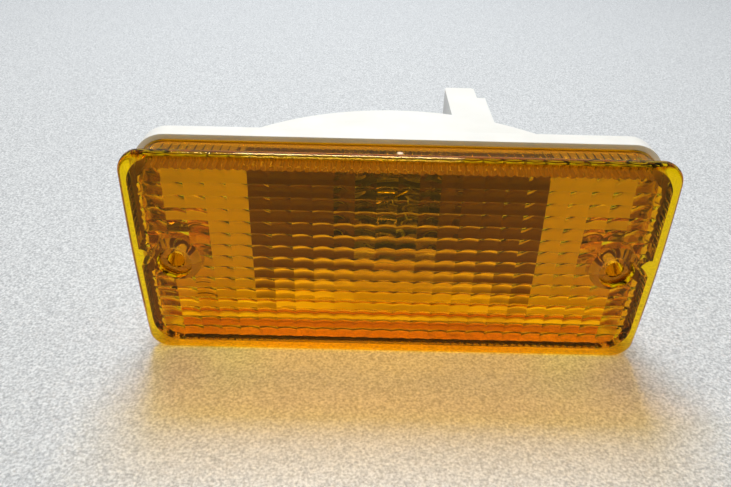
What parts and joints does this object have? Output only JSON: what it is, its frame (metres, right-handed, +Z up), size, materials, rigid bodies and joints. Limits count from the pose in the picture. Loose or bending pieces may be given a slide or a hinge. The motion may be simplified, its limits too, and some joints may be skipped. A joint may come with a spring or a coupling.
{
  "type": "turn signal lamp",
  "caption": "Rectangular turn signal lamp: amber fluted lens on a white housing with a bowed back, locating tab, twist-lock bulb holder and bayonet bulb.",
  "frame": {"origin": "midway between the two screw holes, level with the front of the lens flange at its top and bottom edges", "axes": "+X across the lamp, +Y from the lens to the back, +Z up"},
  "size_m": [0.1516, 0.0809, 0.0676],
  "materials": {
    "amber_lens": "clear amber acrylic, polished outside, fluted inside",
    "white_plastic": "satin white polypropylene",
    "seal_rubber": "matt black foam rubber",
    "filter_foam": "open-cell foam",
    "holder_nylon": "matt dark grey nylon",
    "plated_steel": "zinc-plated steel",
    "brass": "bare brass",
    "fibre": "brown laminate",
    "bulb_glass": "clear glass",
    "cap_metal": "nickel-plated brass",
    "tungsten": "dark wire",
    "black_glass": "black vitreous insulator",
    "solder": "dull solder"
  },
  "bodies": {
    "housing": {"housing": "white_plastic", "lens_gasket": "seal_rubber", "vent_foam": "filter_foam"},
    "lens": {"lens_cover": "amber_lens", "screw_hole_seals": "seal_rubber"},
    "bulb_holder": {"holder_body": "holder_nylon", "holder_seal": "seal_rubber", "socket_shell": "plated_steel", "live_terminal": "brass", "ground_terminal": "brass", "contact_spring": "plated_steel"},
    "plunger": {"contact_plunger": "fibre", "plunger_button": "brass"},
    "bulb": {"bulb_glass": "bulb_glass", "bulb_cap": "cap_metal", "bayonet_pins": "cap_metal", "bulb_stem": "bulb_glass", "support_wires": "tungsten", "filament": "tungsten", "cap_insulator": "black_glass", "tip_contact": "solder"}
  },
  "joints": [
    {"name": "lens_lift", "type": "slide", "parent": "housing", "child": "lens", "axis": [0, -1, 0], "range_m": [0, 0.06]},
    {"name": "holder_twist", "type": "hinge", "parent": "housing", "child": "bulb_holder", "pos_m": [0, 0.042, 0], "axis": [0, 1, 0], "range_deg": [0, 45]},
    {"name": "bulb_push", "type": "slide", "parent": "bulb_holder", "child": "bulb", "axis": [0, 1, 0], "range_m": [0, 0.002], "stiffness_N_per_m": 1500, "springref_m": -0.006, "deforming": ["contact_spring"]},
    {"name": "plunger_push", "type": "slide", "parent": "bulb_holder", "child": "plunger", "axis": [0, 1, 0], "range_m": [0, 0.002]}
  ],
  "couplings": [
    {"joint": "plunger_push", "follows": "bulb_push", "ratio": 1}
  ]
}
